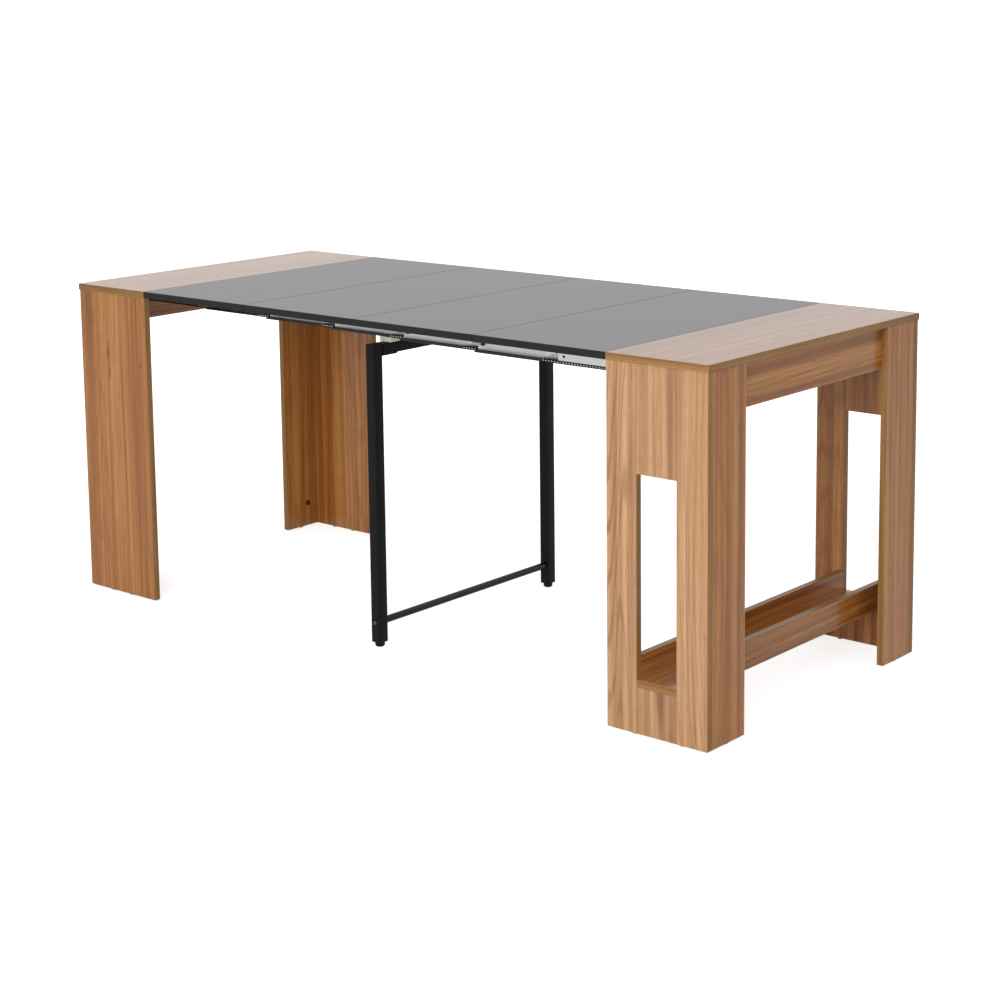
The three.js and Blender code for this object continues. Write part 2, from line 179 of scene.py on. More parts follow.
def growth_lines(tree, grain, rings):
    """Share of the thin dark lines that run round each arch and come and go along the board."""
    shake = add(tree, "Math", {0: streaks(tree, grain, RING_SHAKE, 2), 1: SHAKE_SHARE}, operation="MULTIPLY")
    shaken = add(tree, "Math", {0: rings, 1: shake}, operation="ADD")
    turn = math.tau * ARCHES[0] / RING_SPACING
    turned = add(tree, "Math", {0: shaken, 1: turn}, operation="MULTIPLY")
    wave = add(tree, "Math", {0: turned}, operation="SINE")
    lines = add(tree, "ValToRGB", {"Fac": wave}, ((0.45, grey(0)), (0.9, grey(1))))
    strength = add(tree, "ValToRGB", {"Fac": streaks(tree, grain, FADED_STRETCHES, 2)},
                   ((0.42, grey(0.04)), (0.66, grey(0.55))))
    return add(tree, "Math", {0: lines, 1: strength}, operation="MULTIPLY")


def knot(tree, grain, spot, size):
    """Share of a knot: a spindle at a place in the grain map that fades out along the grain."""
    away = add(tree, "VectorMath", {0: grain, 1: (*spot, 0)}, operation="SUBTRACT")
    scaled = add(tree, "VectorMath", {0: away, 1: (*size, 1)}, operation="DIVIDE")
    reach = add(tree, "VectorMath", {0: scaled}, operation="LENGTH")
    return add(tree, "ValToRGB", {"Fac": reach}, ((0.15, grey(0.85)), (1, grey(0))))


def walnut_laminate(name, bands):
    """Printed walnut laminate: bands of four browns under growth lines, fibres, pores and knots."""
    material, tree = new_material(name)
    grain = wandering_grain(tree, DRIFT_REACH, DRIFT)
    surface = add(tree, "ValToRGB", {"Fac": streaks(tree, grain, BANDS, 4, 0.62)},
                  [(place, linear(band)) for place, band in zip(BAND_STOPS, bands)])
    cells = add(tree, "Mapping", {"Vector": grain, "Scale": print_scale(*ARCHES)})
    rings = add(tree, "TexVoronoi", {"Vector": cells, "Scale": 1, "Smoothness": 0.6}, feature="SMOOTH_F1")
    lines = growth_lines(tree, grain, rings)
    surface = add(tree, "Mix", {FACTOR: lines, FIRST: surface, SECOND: linear(GROWTH_LINE)}, data_type="RGBA")
    fibres = add(tree, "ValToRGB", {"Fac": streaks(tree, grain, FIBRES, 3, 0.6)},
                 ((0.35, grey(0.86)), (0.65, grey(1.08))))
    surface = add(tree, "Mix", {FACTOR: FIBRE_SHARE, FIRST: surface, SECOND: fibres}, data_type="RGBA",
                  blend_type="MULTIPLY")
    pores = add(tree, "ValToRGB", {"Fac": streaks(tree, grain, PORES, 1)},
                ((0.6, grey(0)), (0.72, grey(0.45))))
    surface = add(tree, "Mix", {FACTOR: pores, FIRST: surface, SECOND: linear(PORE)}, data_type="RGBA")
    hearts = add(tree, "ValToRGB", {"Fac": rings}, ((0.02, grey(0.75)), (0.09, grey(0))))
    surface = add(tree, "Mix", {FACTOR: hearts, FIRST: surface, SECOND: linear(RING_HEART)}, data_type="RGBA")
    for spot, size in KNOTS:
        spindle = knot(tree, grain, spot, size)
        surface = add(tree, "Mix", {FACTOR: spindle, FIRST: surface, SECOND: linear(KNOT)}, data_type="RGBA")
    sheet_tone = add(tree, "ValToRGB", {"Fac": streaks(tree, grain, SHEET_TONES, 0)},
                     ((0.3, grey(0.92)), (0.7, grey(1.06))))
    surface = add(tree, "Mix", {FACTOR: 1, FIRST: surface, SECOND: sheet_tone}, data_type="RGBA",
                  blend_type="MULTIPLY")
    relief = add(tree, "Bump", {"Height": fibres, "Strength": 0.15, "Distance": 0.05 * MM})
    gloss = add(tree, "MapRange", {"Value": fibres, "To Min": 0.15, "To Max": 0.24})
    shader = add(tree, "BsdfPrincipled", {"Base Color": surface, "Roughness": gloss, "Normal": relief,
                                          "IOR": 1.4, "Coat Weight": 0.3, "Coat Roughness": 0.1})
    add(tree, "OutputMaterial", {"Surface": shader})
    return material


def walnut_edge_band(name, low, high, dark):
    """Thin printed edge band: streaks of two browns with short fine flecks."""
    material, tree = new_material(name)
    grain = wandering_grain(tree, EDGE_DRIFT_REACH, EDGE_DRIFT)
    tone = add(tree, "ValToRGB", {"Fac": streaks(tree, grain, EDGE_STREAKS, 3)},
               ((0.3, linear(low)), (0.7, linear(high))))
    flecks = add(tree, "ValToRGB", {"Fac": streaks(tree, grain, EDGE_FLECKS, 1)},
                 ((0.55, grey(0)), (0.7, grey(0.5))))
    surface = add(tree, "Mix", {FACTOR: flecks, FIRST: tone, SECOND: linear(dark)}, data_type="RGBA")
    shader = add(tree, "BsdfPrincipled", {"Base Color": surface, "Roughness": 0.35, "IOR": 1.35})
    add(tree, "OutputMaterial", {"Surface": shader})
    return material


def dark_laminate(name, low, high, roughness, specular):
    """Melamine pressed against a finely textured plate, whose mottle breaks up the sheen."""
    material, tree = new_material(name)
    place = add(tree, "TexCoord").outputs["Object"]
    mottle = add(tree, "TexNoise", {"Vector": place, "Scale": 1 / (MOTTLE * MM), "Detail": 3})
    tone = add(tree, "ValToRGB", {"Fac": mottle}, ((0.35, linear(low)), (0.65, linear(high))))
    relief = add(tree, "Bump", {"Height": mottle, "Strength": 0.12, "Distance": 0.04 * MM})
    gloss = add(tree, "MapRange", {"Value": mottle, "To Min": roughness - 0.04, "To Max": roughness + 0.04})
    shader = add(tree, "BsdfPrincipled", {"Base Color": tone, "Roughness": gloss, "Normal": relief,
                                          "IOR": 1.5, "Specular IOR Level": specular})
    add(tree, "OutputMaterial", {"Surface": shader})
    return material


def metal(name, low, high, roughness, line_length, line_width, shaded_lips=None):
    """Metal with lines of this size along X, in millimetres, which are coarse enough to show in the render.

    Shaded lips are two heights, in metres, and the colour of painted shade below the one and above the other."""
    material, tree = new_material(name)
    place = add(tree, "TexCoord").outputs["Object"]
    scale = [1 / (size * MM) for size in (line_length, line_width, line_width)]
    lines = add(tree, "TexNoise", {"Vector": add(tree, "Mapping", {"Vector": place, "Scale": scale}),
                                   "Scale": 1, "Detail": 3})
    tone = add(tree, "ValToRGB", {"Fac": lines}, ((0.35, linear(low)), (0.65, linear(high))))
    # Painted shade: below and above two heights the lips take a dark colour instead of the metal's own
    if shaded_lips:
        height = add(tree, "SeparateXYZ", {"Vector": place}).outputs["Z"]
        above = add(tree, "Math", {0: height, 1: shaded_lips[0]}, operation="GREATER_THAN")
        below = add(tree, "Math", {0: height, 1: shaded_lips[1]}, operation="LESS_THAN")
        between = add(tree, "Math", {0: above, 1: below}, operation="MULTIPLY")
        tone = add(tree, "Mix", {FACTOR: between, FIRST: linear(shaded_lips[2]), SECOND: tone}, data_type="RGBA")
    gloss = add(tree, "MapRange", {"Value": lines, "To Min": roughness - 0.06, "To Max": roughness + 0.08})
    shader = add(tree, "BsdfPrincipled", {"Base Color": tone, "Roughness": gloss, "Metallic": 1})
    add(tree, "OutputMaterial", {"Surface": shader})
    return material


def coated(name, low, high, roughness, specular, pimple, depth):
    """Powder coat, enamel or moulded plastic: an even colour over pimples of this size, in millimetres.

    The pimples are coarser than real ones, so that they show in the render."""
    material, tree = new_material(name)
    place = add(tree, "TexCoord").outputs["Object"]
    pimples = add(tree, "TexNoise", {"Vector": place, "Scale": 1 / (pimple * MM), "Detail": 2})
    tone = add(tree, "ValToRGB", {"Fac": pimples}, ((0.35, linear(low)), (0.65, linear(high))))
    relief = add(tree, "Bump", {"Height": pimples, "Strength": 0.3, "Distance": depth * MM})
    shader = add(tree, "BsdfPrincipled", {"Base Color": tone, "Normal": relief, "Roughness": roughness,
                                          "IOR": 1.5, "Specular IOR Level": specular})
    add(tree, "OutputMaterial", {"Surface": shader})
    return material


# Walnut printed on paper and pressed satin: warm brown bands, and a pale sheen at a flat angle
WALNUT = walnut_laminate("walnut_print_laminate_satin", ("#8e5527", "#a06530", "#b3763b", "#c0864a"))
# The same print lightened and greyed by a painted sheen, for the front of the storage unit: honey and sand
# bands
SHEENED_WALNUT = walnut_laminate("walnut_print_laminate_painted_sheen",
                              ("#9b6f4e", "#aa7e57", "#ba8e64", "#c69d76"))
# Printed edge tape: a flecked olive brown line round each board
WALNUT_EDGE = walnut_edge_band("walnut_print_edge_band", "#805a33", "#a67d4b", "#5f4226")
# Pressed melamine: even charcoal that a flat angle turns light grey
MELAMINE = dark_laminate("dark_melamine_board", "#424245", "#4d4d50", 0.3, 0.5)
# Its edge tape: nearly black, with little sheen
MELAMINE_EDGE = dark_laminate("dark_melamine_edge_band", "#1c1c1d", "#232324", 0.4, 0.2)
# Extruded aluminium, satin from the die: a bright grey face between two lips painted blue-black as the shade
# in the channel
RAIL_BOTTOM, RAIL_TOP = (corner.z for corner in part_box("front_slide_rail_2"))
RAIL_SHADED_LIP = 4.2 * MM
ALUMINIUM = metal("extruded_aluminium_satin", "#dde0da", "#eaede7", 0.46, 55, 1.1,
                  (RAIL_BOTTOM + RAIL_SHADED_LIP, RAIL_TOP - RAIL_SHADED_LIP, "#3a444a"))
# Stamped and oiled steel strip, darkened further by painted shade of the channel: a dark band behind the
# balls
SHADED_CAGE_STEEL = metal("stamped_steel_cage_oiled_with_painted_shade", "#15181b", "#23272b", 0.45, 28, 1.4)
# Polished steel balls: a row of white points
BALL_STEEL = metal("polished_steel_ball", "#c9ccd0", "#dcdfe2", 0.16, 5, 5)
# Zinc plated steel: pale silver cage plates and screw heads
ZINC = metal("zinc_plated_steel_fitting", "#e0e3df", "#eef1ec", 0.42, 1.1, 1.1)
# Cast zinc cams with a dull dark plating: grey discs on the wood
ZINC_DARK = metal("dark_zinc_cam_fitting", "#4c4d4f", "#5f6062", 0.45, 1.1, 1.1)
# Blackened steel bolts: a grey point on the black post
BOLT_STEEL = metal("blackened_steel_bolt", "#5c5f5d", "#70736f", 0.3, 1.1, 1.1)
# Powder coat baked on steel tube: a soft black, a little lighter along the corners
POWDER_COAT = coated("black_powder_coat_steel", "#0b0b0c", "#111112", 0.42, 0.16, 0.6, 0.02)
# Enamelled steel rod: black with one long highlight
BLACK_ENAMEL = coated("black_gloss_enamel_rod", "#0a0a0b", "#0f0f10", 0.2, 0.3, 0.6, 0.01)
# Moulded plastic caps, stops and feet: a flat black
BLACK_PLASTIC = coated("black_moulded_plastic", "#0c0c0d", "#121213", 0.5, 0.2, 0.8, 0.03)
# Moulded nylon spacers: a waxy cream
CREAM_NYLON = coated("cream_moulded_nylon", "#d8d0b0", "#e4ddc2", 0.45, 0.4, 0.8, 0.02)
# Moulded nylon pads: an orange speck near each rail's end
AMBER_NYLON = coated("amber_moulded_nylon", "#d9a06a", "#e6b684", 0.45, 0.4, 0.8, 0.02)
# Moulded polythene glides: a dull pale grey
GLIDE_PLASTIC = coated("pale_grey_polythene", "#c6c6c4", "#d6d6d4", 0.5, 0.4, 0.8, 0.02)


# Pieces

CREASE_ANGLE = 32
MERGE_REACH = 0.001 * MM
# How much of an edge or a normal has to lie along an axis, as a share, to count as along it
ALONG_SHARE = 0.95


def body_of(node):
    return frame["nodes"][node]["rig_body"]


def finish_piece(node, part, shape, materials, replaces=False, smooth=True):
    """Turns a bmesh into a piece that is named for a CAD node and its part, and rides on the node's body."""
    bmesh.ops.recalc_face_normals(shape, faces=shape.faces)
    name = f"{node}_{part}"
    mesh = bpy.data.meshes.new(name)
    shape.to_mesh(mesh)
    shape.free()
    for material in materials:
        mesh.materials.append(material)
    if smooth:
        mesh.shade_smooth()
        mesh.set_sharp_from_angle(angle=math.radians(CREASE_ANGLE))
    piece = bpy.data.objects.new(name, mesh)
    bpy.context.scene.collection.objects.link(piece)
    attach(piece, body_of(node))
    if replaces:
        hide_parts(node)


def add_box(shape, xs, ys, zs):
    """Adds a box from a pair of limits along each axis, in any order, and returns its vertices."""
    centre = [(a + b) / 2 for a, b in (xs, ys, zs)]
    size = [abs(b - a) for a, b in (xs, ys, zs)]
    place = Matrix.Translation(centre) @ Matrix.Diagonal((*size, 1))
    return bmesh.ops.create_cube(shape, size=1, matrix=place)["verts"]


def edges_of(vertices):
    return list({edge for vertex in vertices for edge in vertex.link_edges})


def edges_along(vertices, axis):
    """The edges of a solid that run along an axis."""
    found = []
    for edge in edges_of(vertices):
        span = edge.verts[1].co - edge.verts[0].co
        if abs(span[axis]) > ALONG_SHARE * span.length:
            found.append(edge)
    return found


def round_edges(shape, edges, radius, segments):
    bmesh.ops.bevel(shape, geom=edges, offset=radius, segments=segments, profile=0.5, affect="EDGES",
                    material=-1)


def toward(direction):
    """A turn that points +Z along a direction."""
    return Vector(direction).to_track_quat("Z", "Y").to_matrix().to_4x4()


def add_rod(shape, start, direction, radius, length, sides):
    place = Matrix.Translation(start) @ toward(direction) @ Matrix.Translation((0, 0, length / 2))
    bmesh.ops.create_cone(shape, cap_ends=True, segments=sides, radius1=radius, radius2=radius, depth=length,
                          matrix=place)


def add_turned(shape, profile, start, direction, sides):
    """Spins a profile, radii and heights in millimetres, about an axis from a point."""
    before = set(shape.verts)
    points = [shape.verts.new((radius * MM, 0, height * MM)) for radius, height in profile]
    lines = [shape.edges.new(pair) for pair in zip(points, points[1:])]
    bmesh.ops.spin(shape, geom=points + lines, cent=(0, 0, 0), axis=(0, 0, 1),
                   angle=math.tau, steps=sides, use_merge=True, use_duplicate=False)
    spun = [v for v in shape.verts if v not in before]
    bmesh.ops.remove_doubles(shape, verts=spun, dist=MERGE_REACH)
    made = [v for v in shape.verts if v not in before]
    bmesh.ops.transform(shape, matrix=Matrix.Translation(start) @ toward(direction), verts=made)


def add_section(shape, corners, travel):
    """Adds a solid from the corners of its end face and the way that the face travels."""
    before = set(shape.verts)
    end = shape.faces.new([shape.verts.new(corner) for corner in corners])
    made = bmesh.ops.extrude_face_region(shape, geom=[end])["geom"]
    bmesh.ops.translate(shape, vec=travel, verts=[v for v in made if isinstance(v, bmesh.types.BMVert)])
    return [v for v in shape.verts if v not in before]


def paint(shape, old_faces, material_index):
    """Gives a material to the faces that weren't there before."""
    for face in shape.faces:
        if face not in old_faces:
            face.material_index = material_index


# Boards

BEVEL, LEAF_BEVEL = 0.5 * MM, 1.0 * MM
UP_GRAIN, CROSS_GRAIN = Z, Y
# Where each board lies on the print, in metres: a first place, a step from board to board, and a step
# for the faces that point the other way
SHEET_START, SHEET_STEP, OTHER_FACE_STEP = (0.5, 0.3), (1.37, 2.11), 3.1

WOOD_BOARDS = {
    "left_top": CROSS_GRAIN, "left_front_panel": UP_GRAIN, "left_back_panel": UP_GRAIN,
    "left_front_end_panel": UP_GRAIN, "left_back_end_panel": UP_GRAIN, "left_apron": CROSS_GRAIN,
    "right_top": CROSS_GRAIN, "right_front_end_panel": UP_GRAIN, "right_back_end_panel": UP_GRAIN,
    "right_apron": CROSS_GRAIN,
    "right_front_inner_stile": UP_GRAIN, "right_front_outer_stile": UP_GRAIN,
    "right_front_upper_filler": UP_GRAIN, "right_front_lower_filler": UP_GRAIN,
    "right_back_inner_stile": UP_GRAIN, "right_back_outer_stile": UP_GRAIN,
    "right_back_upper_filler": UP_GRAIN, "right_back_lower_filler": UP_GRAIN,
    "rack_shelf": CROSS_GRAIN, "rack_inner_rail": CROSS_GRAIN, "rack_outer_rail": CROSS_GRAIN,
}
LEAF_COUNT = 4

# Nailed glides: a domed disc under a foot, in radii and heights, and where they stand along each board
GLIDE_HEIGHT = 4
GLIDE_PROFILE = ((0, 0), (3.6, 0), (4.2, 0.3), (4.5, 0.9), (6.1, 1.8), (6.5, 2.4), (6.5, GLIDE_HEIGHT),
                 (0, GLIDE_HEIGHT))
SIDE_GLIDES = {
    "left": {"left_{}_panel": (-842, -774)},
    "right": {"right_{}_inner_stile": (742,), "right_{}_outer_stile": (856,)},
}
END_PANEL_GLIDE = 317.9


def map_grain(shape, low, high, grain, order):
    """Writes the grain map: the broad faces follow the board's grain, and each edge its own length."""
    size = Vector(high) - Vector(low)
    thin = min(range(3), key=lambda axis: size[axis])
    shift = [start + order * step for start, step in zip(SHEET_START, SHEET_STEP)]
    layer = shape.loops.layers.uv.new(GRAIN_MAP)
    for face in shape.faces:
        facing = max(range(3), key=lambda axis: abs(face.normal[axis]))
        others = [axis for axis in range(3) if axis != facing]
        along = grain if facing == thin else max(others, key=lambda axis: size[axis])
        across = others[0] if others[1] == along else others[1]
        turn = OTHER_FACE_STEP if face.normal[facing] < 0 else 0
        face.material_index = 0 if abs(face.normal[thin]) > ALONG_SHARE else 1
        for loop in face.loops:
            place = loop.vert.co
            loop[layer].uv = (place[across] + shift[0] + turn, place[along] + shift[1])


def make_board(node, grain, order, materials, bevel):
    low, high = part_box(node)
    if low.z < GLIDE_HEIGHT * MM / 2:
        low.z = GLIDE_HEIGHT * MM
    shape = bmesh.new()
    vertices = add_box(shape, *zip(low, high))
    round_edges(shape, edges_of(vertices), bevel, segments=2)
    shape.normal_update()
    map_grain(shape, low, high, grain, order)
    finish_piece(node, "board", shape, materials, replaces=True, smooth=False)


def wood_boards():
    for order, (node, grain) in enumerate(WOOD_BOARDS.items()):
        # The storage unit's front boards take the print with the painted sheen
        pale = node.startswith("right_front") and "end_panel" not in node
        make_board(node, grain, order, [SHEENED_WALNUT if pale else WALNUT, WALNUT_EDGE], BEVEL)


def leaves():
    for number in range(1, LEAF_COUNT + 1):
        make_board(f"leaf_{number}", CROSS_GRAIN, number, [MELAMINE, MELAMINE_EDGE], LEAF_BEVEL)


def add_glide(node, number, x, y):
    shape = bmesh.new()
    add_turned(shape, GLIDE_PROFILE, (x, y, 0), (0, 0, 1), sides=20)
    finish_piece(node, f"glide_{number}", shape, [GLIDE_PLASTIC])


def glides():
    for unit, boards in SIDE_GLIDES.items():
        for label, _ in SIDES:
            for board, places in boards.items():
                node = board.format(label)
                low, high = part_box(node)
                for number, x in enumerate(places, 1):
                    add_glide(node, number, x * MM, (low.y + high.y) / 2)
        for label, side in SIDES:
            node = f"{unit}_{label}_end_panel"
            low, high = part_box(node)
            add_glide(node, 1, (low.x + high.x) / 2, side * END_PANEL_GLIDE * MM)


# Cam fittings in the end panels and aprons: a disc with a cross recess, in millimetres
CAM_FROM_MIDDLE = 338
CAM_HEIGHTS = {"end_panel": 66, "apron": 690}
CAM_PROUD = 0.5
CAM_PROFILE = ((0, CAM_PROUD), (7.2, CAM_PROUD), (7.5, 0))
CROSS_REACH, CROSS_HALF_WIDTH = 4, 0.8
CROSS_SUNK, CROSS_PROUD = 0.1, 0.2


def cams():
    for unit, end in (("left", -1), ("right", 1)):
        for label, side in SIDES:
            for board, cam_height in CAM_HEIGHTS.items():
                node = f"{unit}_apron" if board == "apron" else f"{unit}_{label}_{board}"
                low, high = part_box(node)
                face = high.x if end < 0 else low.x
                y, z = side * CAM_FROM_MIDDLE * MM, cam_height * MM
                shape = bmesh.new()
                add_turned(shape, CAM_PROFILE, (face, y, z), (-end, 0, 0), sides=28)
                depth = (face - CROSS_SUNK * MM, face - end * (CAM_PROUD + CROSS_PROUD) * MM)
                reach, half = CROSS_REACH * MM, CROSS_HALF_WIDTH * MM
                add_box(shape, depth, (y - reach, y + reach), (z - half, z + half))
                add_box(shape, depth, (y - half, y + half), (z - reach, z + reach))
                finish_piece(node, f"{label}_cam", shape, [ZINC_DARK])


# Slides, in millimetres. An inset is measured from a rail's outer face towards the middle of the table.
RAIL_COUNT, RAIL_PITCH, STACK_FACE = 7, 16, 313.2
WEB_INSET, WEB_THICKNESS = 13.2, 2.4
BALL_INSET, BALL_HEIGHT, BALL_RADIUS, BALL_SPACING = 21.7, 5.85, 2.5, 7.5
# How far the first ball stands from a cage's end, as a share of the spacing
FIRST_BALL_SHARE = 0.6
CAGE_LIP, CAGE_PLATE, CAGE_PLATE_THICKNESS, CAGE_ARM_THICKNESS = 16.1, 28.2, 0.6, 1.2
CAGE_OVERHANG = 45

# The outer lip of a cage, and the pressed seats of its balls: where it lies, and a seat's profile
LIP_FACE, LIP_BACK, LIP_LOW, LIP_HIGH = 13.6, 15.4, 0.4, 7.2
SEAT_HEIGHT = 4
SEAT_PROFILE = ((0, 0.5), (1.2, 0.5), (1.8, 0))

# The rib and the rivet near the open end of a cage's plate, measured from that end and below its middle
RIB_START, RIB_END, RIB_LOW, RIB_HIGH, RIB_PROUD, RIB_BEVEL = 14, 42, 7.3, 6.3, 0.35, 0.15
RIVET_PLACE, RIVET_DROP = 28, 2
RIVET_PROFILE = ((0, 0.5), (1.9, 0.5), (2.3, 0))

# The rubber stop near the open end of each rail, with the nylon pad beside it, and the flat stop of rail 1
STOP_INSET, STOP_HEIGHT, STOP_LENGTH, FLAT_STOP_LENGTH = 14, 16.5, 5, 0.6
STOP_TOP, STOP_RADIUS, STOP_CHAMFER = 2.4, 3, 0.5
PAD_START, PAD_END, PAD_LOW, PAD_HIGH, PAD_PROUD, PAD_BEVEL = 13, 3.5, 3, 1, 4, 0.6

# Bracket screws, in pairs: from the rail's outer end, beside the web, and below the bracket's top
SCREW_PROFILE = ((0, 0.9), (1.1, 0.9), (1.3, 1.9), (2.6, 1.5), (3.4, 0.6), (3.5, 0))
SCREW_PLACES, SCREW_HALF_PAIR = (45, 160), 8
BRACKET_THICKNESS, FLAT_SCREW_INSET, UPRIGHT_SCREW_DROP = 2, 13, 20


def rail_y(side, index, inset):
    return side * (STACK_FACE - index * RAIL_PITCH - inset) * MM


def rails():
    for node, thing in frame["nodes"].items():
        if "slide_rail" in node:
            thing.data.materials.clear()
            thing.data.materials.append(ALUMINIUM)


def ball_cages():
    for label, side in SIDES:
        for index in range(RAIL_COUNT - 1):
            node = f"{label}_ball_cage_{index + 1}"
            low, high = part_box(node)
            cage_strip(node, side, index, low.x, high.x)
            plate_marks(node, side, index, low.x)
            cage_lip(node, side, index, low.x, high.x if index == 0 else low.x + CAGE_OVERHANG * MM)


def ball_places(start, end):
    """Where the balls of a row stand along a cage."""
    count = int((end - start) / (BALL_SPACING * MM))
    return [start + (number + FIRST_BALL_SHARE) * BALL_SPACING * MM for number in range(count)]


def cage_strip(node, side, index, start, end):
    """A cage: its plate, its two arms and the two rows of balls that they hold."""
    plate = (rail_y(side, index, CAGE_PLATE), rail_y(side, index, CAGE_PLATE + CAGE_PLATE_THICKNESS))
    arm = (rail_y(side, index, CAGE_LIP), plate[1])
    half = CAGE_ARM_THICKNESS / 2 * MM
    heights = (RAIL_BOTTOM + BALL_HEIGHT * MM, RAIL_TOP - BALL_HEIGHT * MM)
    shape = bmesh.new()
    add_box(shape, (start, end), plate, (heights[0] - half, heights[1] + half))
    old = set(shape.faces)
    for height in heights:
        add_box(shape, (start, end), arm, (height - half, height + half))
    # The arms take the dark cage steel with its painted shade
    paint(shape, old, material_index=1)
    old = set(shape.faces)
    for height in heights:
        for x in ball_places(start, end):
            place = (x, rail_y(side, index, BALL_INSET), height)
            bmesh.ops.create_uvsphere(shape, u_segments=8, v_segments=5, radius=BALL_RADIUS * MM,
                                      matrix=Matrix.Translation(place))
    paint(shape, old, material_index=2)
    finish_piece(node, "strip", shape, [ZINC, SHADED_CAGE_STEEL, BALL_STEEL], replaces=True)


def cage_lip(node, side, index, start, end):
    """The dark outer lip of a cage, oiled steel with painted shade, with the pressed seats of its balls,
    where a rail leaves it bare.
    """
    face, back = (rail_y(side, index, inset) for inset in (LIP_FACE, LIP_BACK))
    shape = bmesh.new()
    add_box(shape, (start, end), (face, back), (RAIL_BOTTOM + LIP_LOW * MM, RAIL_BOTTOM + LIP_HIGH * MM))
    old = set(shape.faces)
    for x in ball_places(start, end):
        add_turned(shape, SEAT_PROFILE, (x, face, RAIL_BOTTOM + SEAT_HEIGHT * MM), (0, side, 0), sides=8)
    paint(shape, old, material_index=1)
    finish_piece(node, "edge", shape, [SHADED_CAGE_STEEL, BALL_STEEL])


def plate_marks(node, side, index, start):
    """A stamped rib and a rivet near the open end of a cage's plate, drawn in the dark cage steel as painted
    shade on the bright plate.
    """
    face = rail_y(side, index, CAGE_PLATE)
    middle = (RAIL_BOTTOM + RAIL_TOP) / 2
    shape = bmesh.new()
    rib = add_box(shape, (start + RIB_START * MM, start + RIB_END * MM), (face, face + side * RIB_PROUD * MM),
                  (middle - RIB_LOW * MM, middle - RIB_HIGH * MM))
    round_edges(shape, edges_of(rib), RIB_BEVEL * MM, segments=2)
    place = (start + RIVET_PLACE * MM, face, middle - RIVET_DROP * MM)
    add_turned(shape, RIVET_PROFILE, place, (0, side, 0), sides=16)
    finish_piece(node, "marks", shape, [SHADED_CAGE_STEEL])


def rail_stops():
    """A rubber stop and a nylon pad on the web of each rail, next to its open end."""
    for label, side in SIDES:
        for index in range(RAIL_COUNT):
            node = f"{label}_slide_rail_{index + 1}"
            face = rail_y(side, index, WEB_INSET)
            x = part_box(node)[0].x + STOP_INSET * MM
            z = RAIL_BOTTOM + STOP_HEIGHT * MM
            length = FLAT_STOP_LENGTH if index == 0 else STOP_LENGTH
            profile = ((0, length), (STOP_TOP, length), (STOP_RADIUS, length - STOP_CHAMFER),
                       (STOP_RADIUS, 0))
            stop = bmesh.new()
            add_turned(stop, profile, (x, face, z), (0, side, 0), sides=20)
            finish_piece(node, "stop", stop, [BLACK_PLASTIC])
            if index == 0:
                continue
            pad = bmesh.new()
            made = add_box(pad, (x - PAD_START * MM, x - PAD_END * MM), (face, face + side * PAD_PROUD * MM),
                           (z - PAD_LOW * MM, z + PAD_HIGH * MM))
            round_edges(pad, edges_of(made), PAD_BEVEL * MM, segments=3)
            finish_piece(node, "pad", pad, [AMBER_NYLON])


def bracket_screws():
    """Pan head screws up through the flats of the brackets and through their uprights into the rail."""
    for label, side in SIDES:
        for index, end in ((0, 1), (RAIL_COUNT - 1, -1)):
            node = f"{label}_slide_rail_{index + 1}"
            low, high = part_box(node)
            away = side if index == 0 else -side
            web = rail_y(side, index, WEB_INSET if index == 0 else WEB_INSET + WEB_THICKNESS)
            flat = (web + away * FLAT_SCREW_INSET * MM, high.z - BRACKET_THICKNESS * MM)
            upright = (web + away * BRACKET_THICKNESS * MM, high.z - UPRIGHT_SCREW_DROP * MM)
            shape = bmesh.new()
            for inset in SCREW_PLACES:
                x = (high.x - inset * MM) if end > 0 else (low.x + inset * MM)
                for step in (-SCREW_HALF_PAIR * MM, SCREW_HALF_PAIR * MM):
                    add_turned(shape, SCREW_PROFILE, (x + step, *flat), (0, 0, -1), sides=16)
                    add_turned(shape, SCREW_PROFILE, (x + step, *upright), (0, away, 0), sides=16)
            finish_piece(node, "screws", shape, [ZINC])


# Support frame, in millimetres
TUBE_RADIUS = 2.5
CAP_THICKNESS, CAP_BEVEL = 2, 0.7
BAR_HALF = 12.5
SADDLE_HALF, SADDLE_LENGTH, SADDLE_HEIGHT, SADDLE_THICKNESS, SADDLE_BEND = 14.5, 44, 22, 2, 2
SADDLE_BOLT, BOLT_RADIUS, BOLT_LENGTH = 254.2, 2.5, 41
SPACER_STEP, SPACER_BEVEL = 2, 0.7
MIDDLE_RAIL = 3
# What keeps two touching faces of one body apart
CLEAR, TUBE_CLEAR, SADDLE_CLEAR, BOLT_SEAT = 0.1, 0.05, 0.2, 0.05

# A round-headed bolt with a socket
BOLT_PROFILE = ((0, 1.1), (1.7, 1.1), (1.75, 2.9), (2.6, 2.95), (3.9, 2.3), (4.7, 1.2), (5, 0.2), (5, 0),
                (0, 0))

# Levelling foot: a round base with a rolled bottom edge, a groove for the fingers and a threaded stem
FOOT_PROFILE = ((0, 0), (5.5, 0), (8, 0.5), (9.9, 1.9), (10.8, 3.9), (11, 5.2), (11, 6.4), (10.5, 6.8),
                (10.5, 7.4), (11, 7.8), (11, 10.3), (10.4, 11), (4, 11), (4, 29), (0, 29))


def add_tube(shape, xs, ys, zs, axis):
    """Adds a square tube along an axis, drawn solid because its ends are closed, with rounded corners."""
    vertices = add_box(shape, xs, ys, zs)
    round_edges(shape, edges_along(vertices, axis), TUBE_RADIUS * MM, segments=6)


